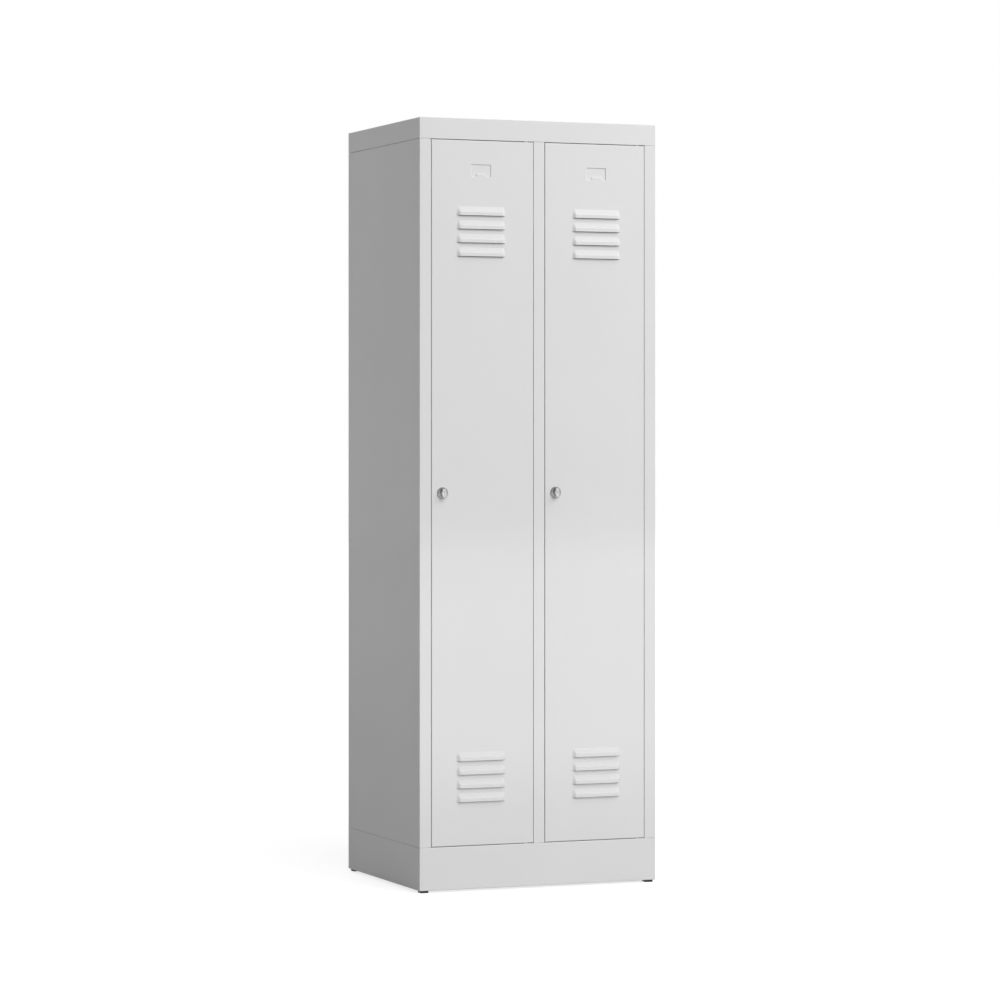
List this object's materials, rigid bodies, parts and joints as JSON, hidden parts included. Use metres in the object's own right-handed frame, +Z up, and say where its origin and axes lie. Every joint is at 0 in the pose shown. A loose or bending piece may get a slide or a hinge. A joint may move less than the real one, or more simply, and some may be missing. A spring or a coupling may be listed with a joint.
{
  "type": "school locker",
  "caption": "Tall folded-steel school locker on a plinth, with louvred hinged doors, twist locks, hat shelves, hanging rails and sliding hooks.",
  "frame": {"origin": "on the floor, under the middle of the whole box, knobs included", "axes": "+Z up, +X to the right seen from the front, +Y from the doors to the back"},
  "size_m": [0.6, 0.5038, 1.8],
  "materials": {
    "outer_paint": "satin",
    "inner_paint": "satin",
    "lock_chrome": "polished",
    "zinc_steel": "satin",
    "black_plastic": "matte",
    "white_nylon": "satin",
    "grey_rubber": "matte"
  },
  "bodies": {
    "cabinet": {"back_panel": "outer_paint", "base_plinth": "outer_paint", "centre_partition": "inner_paint", "centre_post": "outer_paint", "front_left_foot": "black_plastic", "front_right_foot": "black_plastic", "left_door_lower_buffer": "grey_rubber", "left_door_lower_bush": "white_nylon", "left_door_upper_buffer": "grey_rubber", "left_door_upper_bush": "white_nylon", "left_hanging_rail": "zinc_steel", "left_hat_shelf": "inner_paint", "left_rail_left_socket": "black_plastic", "left_rail_right_socket": "black_plastic", "left_side_panel": "outer_paint", "rear_left_foot": "black_plastic", "rear_right_foot": "black_plastic", "right_door_lower_buffer": "grey_rubber", "right_door_lower_bush": "white_nylon", "right_door_upper_buffer": "grey_rubber", "right_door_upper_bush": "white_nylon", "right_hanging_rail": "zinc_steel", "right_hat_shelf": "inner_paint", "right_rail_left_socket": "black_plastic", "right_rail_right_socket": "black_plastic", "right_side_panel": "outer_paint", "top_cap": "outer_paint"},
    "left_door": {"left_door_lower_pin": "zinc_steel", "left_door_panel": "outer_paint", "left_door_stiffener": "inner_paint", "left_door_upper_pin": "zinc_steel", "left_lock_housing": "lock_chrome", "left_lock_nut": "zinc_steel"},
    "right_door": {"right_door_lower_pin": "zinc_steel", "right_door_panel": "outer_paint", "right_door_stiffener": "inner_paint", "right_door_upper_pin": "zinc_steel", "right_lock_housing": "lock_chrome", "right_lock_nut": "zinc_steel"},
    "left_lock": {"left_cam_screw": "zinc_steel", "left_lock_cam": "zinc_steel", "left_lock_knob": "lock_chrome"},
    "right_lock": {"right_cam_screw": "zinc_steel", "right_lock_cam": "zinc_steel", "right_lock_knob": "lock_chrome"},
    "left_key_plug": {"left_key_plug": "zinc_steel"},
    "right_key_plug": {"right_key_plug": "zinc_steel"},
    "left_coat_hook_1": {"left_coat_hook_1": "black_plastic"},
    "left_coat_hook_2": {"left_coat_hook_2": "black_plastic"},
    "right_coat_hook_1": {"right_coat_hook_1": "black_plastic"},
    "right_coat_hook_2": {"right_coat_hook_2": "black_plastic"}
  },
  "joints": [
    {"name": "left_door_swing", "type": "hinge", "parent": "cabinet", "child": "left_door", "pos_m": [-0.03115, -0.23265, 0.9279], "axis": [0, 0, 1], "range_deg": [0, 110]},
    {"name": "left_lock_turn", "type": "hinge", "parent": "left_door", "child": "left_lock", "pos_m": [-0.2434, -0.23815, 0.9279], "axis": [0, 1, 0], "range_deg": [0, 90]},
    {"name": "left_key_turn", "type": "hinge", "parent": "left_lock", "child": "left_key_plug", "pos_m": [-0.2434, -0.23815, 0.9279], "axis": [0, 1, 0], "range_deg": [0, 90]},
    {"name": "left_hook_1_slide", "type": "slide", "parent": "cabinet", "child": "left_coat_hook_1", "axis": [1, 0, 0], "range_m": [-0.045, 0.045]},
    {"name": "left_hook_2_slide", "type": "slide", "parent": "cabinet", "child": "left_coat_hook_2", "axis": [1, 0, 0], "range_m": [-0.045, 0.045]},
    {"name": "right_door_swing", "type": "hinge", "parent": "cabinet", "child": "right_door", "pos_m": [0.2539, -0.23265, 0.9279], "axis": [0, 0, 1], "range_deg": [0, 110]},
    {"name": "right_lock_turn", "type": "hinge", "parent": "right_door", "child": "right_lock", "pos_m": [0.04165, -0.23815, 0.9279], "axis": [0, 1, 0], "range_deg": [0, 90]},
    {"name": "right_key_turn", "type": "hinge", "parent": "right_lock", "child": "right_key_plug", "pos_m": [0.04165, -0.23815, 0.9279], "axis": [0, 1, 0], "range_deg": [0, 90]},
    {"name": "right_hook_1_slide", "type": "slide", "parent": "cabinet", "child": "right_coat_hook_1", "axis": [1, 0, 0], "range_m": [-0.045, 0.045]},
    {"name": "right_hook_2_slide", "type": "slide", "parent": "cabinet", "child": "right_coat_hook_2", "axis": [1, 0, 0], "range_m": [-0.045, 0.045]}
  ]
}
